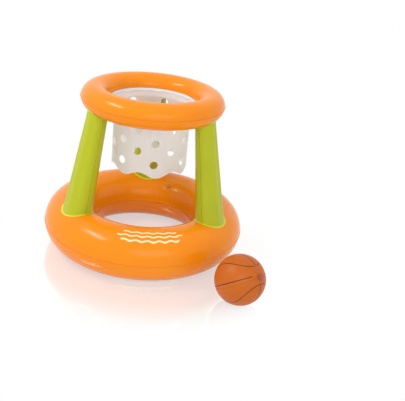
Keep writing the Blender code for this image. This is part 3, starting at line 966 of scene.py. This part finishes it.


# %% [markdown]
# ### Vinyl sheet
# Plasticised PVC sheet is rolled between hot polished rollers, which leaves it glossy with a very
# fine grain, drawn here ten times as coarse so that it shows. Blown up, it is unevenly taut over a
# few centimetres, which bends each highlight. Its IOR is about 1.53, but the picture shows weak
# reflections, so the specular level is lowered. The colour is in the sheet, so it only drifts a
# little. Such thin sheet lets some light through, which is why the shaded inside of a pool ring
# still glows, and subsurface scattering in a thin shell does the same. The press leaves the weld
# lips duller than the posts. They are also painted paler: partly because the green lip lies doubled
# on the orange ring, partly as a painted highlight where the lips catch the light. The ball's
# darker sheet is duller than the rings'.

# %% A function for coloured vinyl sheet
COLOUR_PATCH = 90 * MM
SLACK_PATCH = 30 * MM
SLACK_DEPTH = 0.8 * MM
GRAIN = 1.2 * MM
GRAIN_DEPTH = 0.1 * MM
LIGHT_REACH = 4 * MM


def vinyl_sheet(name, deep, bright, roughness, glow, **sockets):
    """Sheet whose colour drifts between two tones. glow is how much light passes through it."""
    material, tree, shader = start_material(
        name, IOR=1.53, Roughness=roughness, Specular_IOR_Level=0.2, Subsurface_Weight=glow,
        Subsurface_Radius=(1.0, 0.6, 0.3), Subsurface_Scale=LIGHT_REACH, **sockets)
    place = add(tree, "TexCoord").outputs["Object"]
    drift = add(tree, "TexNoise", named={"Vector": place, "Scale": 1 / COLOUR_PATCH})
    tone = add(tree, "Mix", named={"Factor": drift, 6: colour(deep), 7: colour(bright)}, data_type="RGBA")
    tree.links.new(tone.outputs[2], shader.inputs["Base Color"])
    slack = add(tree, "TexNoise", named={"Vector": place, "Scale": 1 / SLACK_PATCH, "Detail": 1})
    slack_bump = add(tree, "Bump", named={"Height": slack, "Strength": 0.3, "Distance": SLACK_DEPTH})
    grain = add(tree, "TexNoise", named={"Vector": place, "Scale": 1 / GRAIN})
    grain_bump = add(tree, "Bump", named={"Height": grain, "Strength": 0.1, "Distance": GRAIN_DEPTH,
                                          "Normal": slack_bump})
    tree.links.new(grain_bump.outputs[0], shader.inputs["Normal"])
    return material


def print_on(material, mask, ink):
    """Prints an ink over a sheet's own colour wherever the mask is 1."""
    tree = material.node_tree
    base_colour = tree.nodes["Principled BSDF"].inputs["Base Color"]
    under = base_colour.links[0].from_socket
    printed = add(tree, "Mix", named={"Factor": mask, 6: under, 7: colour(ink)}, data_type="RGBA")
    tree.links.new(printed.outputs[2], base_colour)


# %% The sheets of rings, posts and ball
orange_sheet = vinyl_sheet("orange_vinyl_sheet", "#EE820A", "#F28E10", 0.20, glow=0.08)
green_sheet = vinyl_sheet("green_vinyl_sheet", "#AEB41C", "#BABE22", 0.28, glow=0.2)
# The weld lips' paler tones are partly a painted highlight where they catch the light.
lip_sheet_with_painted_highlight = vinyl_sheet("green_vinyl_weld_lip_painted_highlight", "#D2D42E", "#DEDE3C", 0.35, glow=0.15)
ball_sheet = vinyl_sheet("ball_vinyl_sheet", "#BA5A12", "#C86418", 0.40, glow=0.1)
post_sheets = [f"{place_name}_post_{which}_sheet" for place_name in POST_AZIMUTHS
               for which in ("outer", "inner")]
paint(orange_sheet, base_top.name, base_bottom.name, rim_top.name, rim_bottom.name)
paint(green_sheet, *post_sheets)
paint(ball_sheet, *[f"ball_gore_sheet_{gore + 1}" for gore in range(GORES)], patch.name)
# The lip faces take the paler sheet, which carries a painted highlight.
for name in post_sheets:
    sheet = bpy.data.objects[name].data
    sheet.materials.append(lip_sheet_with_painted_highlight)
    for face, is_lip in zip(sheet.polygons, sheet.attributes[WELD_LIP].data):
        face.material_index = int(is_lip.value)

# %% [markdown]
# ### The print on the base
# Pool rings are screen printed before they are welded, with one thin, opaque ink. Three strokes of
# waves are laid out here by angle round the ring and by distance from its axis, so that they follow
# the tube as a flat print does once the ring is blown up.

# %% Wave strokes in cream ink
PRINT_AZIMUTH = -85
PRINT_RADIUS = 282 * MM
PRINT_LENGTH = 205 * MM
STROKE = 5 * MM
STROKE_PITCH = 15 * MM
WAVE = 34 * MM
WAVE_HEIGHT = 4 * MM
STROKE_COUNT = 3
TAPER = 1.1

tree = orange_sheet.node_tree
place = add(tree, "TexCoord").outputs["Object"]
centred = add(tree, "Mapping", named={"Vector": place, "Location": AXIS,
                                      "Rotation": (0, 0, math.radians(PRINT_AZIMUTH))},
              vector_type="TEXTURE")
from_axis = add(tree, "SeparateXYZ", centred)
angle = add(tree, "Math", from_axis.outputs["Y"], from_axis.outputs["X"], operation="ARCTAN2")
along = add(tree, "Math", angle, PRINT_RADIUS, operation="MULTIPLY")
flat = add(tree, "VectorMath", centred, (1, 1, 0), operation="MULTIPLY")
radius = add(tree, "VectorMath", flat, operation="LENGTH").outputs["Value"]
phase = add(tree, "Math", along, math.tau / WAVE, operation="MULTIPLY")
swing = add(tree, "Math", phase, operation="SINE")
wavy = add(tree, "Math", swing, WAVE_HEIGHT / 2, PRINT_RADIUS, operation="MULTIPLY_ADD")
across = add(tree, "Math", radius, wavy, operation="SUBTRACT")
nearest = add(tree, "Math", across, STROKE_PITCH / 2, -STROKE_PITCH / 2, operation="WRAP")
stroke = add(tree, "Math", nearest, 0.0, STROKE / 2, operation="COMPARE")
rows = add(tree, "Math", across, 0.0, STROKE_PITCH * STROKE_COUNT / 2, operation="COMPARE")
off_middle = add(tree, "Math", across, operation="ABSOLUTE")
half_length = add(tree, "Math", off_middle, -TAPER, PRINT_LENGTH / 2, operation="MULTIPLY_ADD")
far_along = add(tree, "Math", along, operation="ABSOLUTE")
within = add(tree, "Math", far_along, half_length, operation="LESS_THAN")
on_base = add(tree, "Math", from_axis.outputs["Z"], 2 * BASE.middle, operation="LESS_THAN")
inked = stroke
for limit in (rows, within, on_base):
    inked = add(tree, "Math", inked, limit, operation="MULTIPLY")
print("print of", STROKE_COUNT, "strokes,", round(PRINT_LENGTH / MM), "mm long")
print_on(orange_sheet, inked, "#FBE7B8")

# %% [markdown]
# ### The lines on the ball
# A basketball has two lines round its middle, square to each other, and a curved line on each side
# of one of them. They are laid out in a frame of their own, whose X points at the valve but for a
# small tilt: a great circle is where one coordinate is nought, and the curved lines are a latitude
# that swells and narrows twice on its way round. The print stops short of the valve, where the
# sheet is drawn in.

# %% Printed ball lines
LINE = 3.2 * MM
SIDE_LINE_LATITUDE = 34.6
SIDE_LINE_SWING = -13.8
BARE_ROUND_VALVE = 21
LINES_TURN = 81
LINES_TILT = -5.4

valve_along_x = Matrix(((0, 0, 1, 0), (0, -1, 0, 0), (1, 0, 0, 0), (0, 0, 0, 1)))
print_frame = (BALL_FRAME @ Matrix.Rotation(math.radians(LINES_TURN), 4, "Z") @ valve_along_x
               @ Matrix.Rotation(math.radians(LINES_TILT), 4, "Y"))
tree = ball_sheet.node_tree
place = add(tree, "TexCoord").outputs["Object"]
on_ball = add(tree, "Mapping", named={"Vector": place, "Location": print_frame.translation,
                                      "Rotation": print_frame.to_euler()}, vector_type="TEXTURE")
x, y, z = add(tree, "SeparateXYZ", on_ball).outputs
middle_line = add(tree, "Math", z, 0.0, LINE / 2, operation="COMPARE")
cross_line = add(tree, "Math", y, 0.0, LINE / 2, operation="COMPARE")
x_squared = add(tree, "Math", x, 2.0, operation="POWER")
y_squared = add(tree, "Math", y, 2.0, operation="POWER")
less = add(tree, "Math", x_squared, y_squared, operation="SUBTRACT")
both = add(tree, "Math", x_squared, y_squared, operation="ADD")
round_trip = add(tree, "Math", less, both, operation="DIVIDE")
side_latitude = add(tree, "Math", round_trip, math.radians(SIDE_LINE_SWING),
                    math.radians(SIDE_LINE_LATITUDE), operation="MULTIPLY_ADD")
off_middle = add(tree, "Math", z, operation="ABSOLUTE")
rise = add(tree, "Math", off_middle, 1 / BALL_RADIUS, operation="MULTIPLY")
latitude = add(tree, "Math", rise, operation="ARCSINE")
side_line = add(tree, "Math", latitude, side_latitude, LINE / 2 / BALL_RADIUS, operation="COMPARE")
lines = middle_line
for line in (cross_line, side_line):
    lines = add(tree, "Math", lines, line, operation="MAXIMUM")
bare = BALL_RADIUS * math.cos(math.radians(BARE_ROUND_VALVE))
clear_of_valve = add(tree, "Math", x, bare, operation="LESS_THAN")
lines = add(tree, "Math", lines, clear_of_valve, operation="MULTIPLY")
print("ball lines", round(LINE / MM, 1), "mm wide")
print_on(ball_sheet, lines, "#6E3412")

# %% [markdown]
# ### Frosted film, weld band and clear valves
# The net's film is PVC with an embossed frost, drawn coarser here so that it shows: it lets light
# through but blurs what is behind it. Subsurface scattering in its thin shell lets the light
# through, and a little transparency hints at the layer behind. The band is the same vinyl filled
# with white. The rings' valves are soft and clear with an orange tint. The ball's valve is painted
# dark brown as painted shade, for the shade among the puckers round it.

# %% Film, band and valve materials
FROST = 1.5 * MM
FROST_DEPTH = 0.1 * MM

frosted_film, film_tree, film_shader = start_material(
    "frosted_vinyl_film", Base_Color=colour("#EEFCFC"), Roughness=0.5, IOR=1.5, Alpha=0.92,
    Subsurface_Weight=1.0, Subsurface_Radius=(1.0, 1.0, 1.0), Subsurface_Scale=LIGHT_REACH)
film_place = add(film_tree, "TexCoord").outputs["Object"]
frost = add(film_tree, "TexNoise", named={"Vector": film_place, "Scale": 1 / FROST})
frost_bump = add(film_tree, "Bump", named={"Height": frost, "Strength": 0.2, "Distance": FROST_DEPTH})
film_tree.links.new(frost_bump.outputs[0], film_shader.inputs["Normal"])
white_band = vinyl_sheet("white_weld_strip_vinyl", "#F6F1EC", "#FCF8F4", 0.4, glow=0.5)
clear_vinyl = vinyl_sheet("tinted_clear_soft_vinyl", "#F0A050", "#F4AC5C", 0.25, glow=0.3, Alpha=0.5)
# The ball's valve is painted dark brown: painted shade among the puckers round it.
painted_shade_brown_vinyl = vinyl_sheet("brown_soft_vinyl_painted_shade", "#A0503C", "#AC5C44", 0.4, glow=0.1)
paint(frosted_film, net.name)
paint(white_band, band.name)
for valve in SEATS:
    vinyl = painted_shade_brown_vinyl if valve == "ball_valve" else clear_vinyl
    paint(vinyl, *[f"{valve}_{part}_moulding" for part in VALVE_PIECES])

# %% [markdown]
# ## Studio
# A long soft lamp high on the left gives the tubes their long highlights, a wide dim one in front
# fills the shadows, and an even white world lights the rest, a little dimmer than it looks. The
# floor is white and half a mirror, like a polished table. To rays that look it is partly plain
# white near the toy, which thins its shadow and its reflection, and wholly white further off.

# %% Which rays look
WHITE = colour("#FFFFFF")


def looks_on(tree):
    """1 for the camera's rays and for those that gloss and clear things send on, 0 for lighting."""
    ray = add(tree, "LightPath")
    seen = ray.outputs["Is Camera Ray"]
    for kind in ("Is Glossy Ray", "Is Transmission Ray"):
        seen = add(tree, "Math", seen, ray.outputs[kind], operation="MAXIMUM")
    return seen


# %% A floor that turns white
FLOOR_SIZE = 30
FLOOR_DROP = 0.2 * MM
FADE_FROM = 0.34
FADE_TO = 0.52
LEAST_WHITE_SHARE = 0.55

clear_selection()
bpy.ops.mesh.primitive_plane_add(size=FLOOR_SIZE, location=(0, 0, -FLOOR_DROP))
floor = call_it("floor")
polished, floor_tree, floor_shader = start_material(
    "polished_white_floor", Base_Color=WHITE, Roughness=0.11, Metallic=0.65)
floor_place = add(floor_tree, "TexCoord").outputs["Object"]
from_toy = add(floor_tree, "VectorMath", floor_place, operation="LENGTH").outputs["Value"]
fade = add(floor_tree, "MapRange", from_toy, FADE_FROM, FADE_TO, LEAST_WHITE_SHARE, 1.0,
           interpolation_type="SMOOTHSTEP")
plain = add(floor_tree, "Math", fade, looks_on(floor_tree), operation="MULTIPLY")
white = add(floor_tree, "Emission", WHITE, 1.0)
floor_mix = add(floor_tree, "MixShader", plain, floor_shader, white)
floor_tree.links.new(floor_mix.outputs[0], floor_tree.nodes["Material Output"].inputs["Surface"])
paint(polished, floor.name)

# %% World
WORLD_LIGHT = 0.9

world = bpy.data.worlds.new("studio")
bpy.context.scene.world = world
world.use_nodes = True
background = world.node_tree.nodes["Background"]
background.inputs["Color"].default_value = WHITE
strength = add(world.node_tree, "MapRange", looks_on(world.node_tree), 0.0, 1.0, WORLD_LIGHT, 1.0)
world.node_tree.links.new(strength.outputs[0], background.inputs["Strength"])
print("world light", WORLD_LIGHT)

# %% Lamps
LEFT_LAMP_PLACE = Vector((-1.9, -0.46, 2.6))
LEFT_LAMP_SIZE = (1.2, 0.45)
LEFT_LAMP_WATTS = 32
FRONT_FILL_PLACE = Vector((0.5, -2.45, 1.5))
FRONT_FILL_SIZE = (1.8, 1.0)
FRONT_FILL_WATTS = 14
LAMP_AIM = Vector((0, 0, 0.25))


def soft_lamp(name, place, size, watts):
    """A soft lamp that looks at the hoop. Its place is measured from the hoop's foot."""
    clear_selection()
    bpy.ops.object.light_add(type="AREA", location=AXIS + place)
    lamp = bpy.context.object
    lamp.name = name
    lamp.data.shape = "RECTANGLE"
    lamp.data.size, lamp.data.size_y = size
    lamp.data.energy = watts
    lamp.rotation_euler = (LAMP_AIM - place).to_track_quat("-Z", "Y").to_euler()
    print(name, "is", round((LAMP_AIM - place).length, 2), "m off")


soft_lamp("left_lamp", LEFT_LAMP_PLACE, LEFT_LAMP_SIZE, LEFT_LAMP_WATTS)
soft_lamp("front_fill", FRONT_FILL_PLACE, FRONT_FILL_SIZE, FRONT_FILL_WATTS)

# %% View transform
bpy.context.scene.view_settings.view_transform = "Standard"
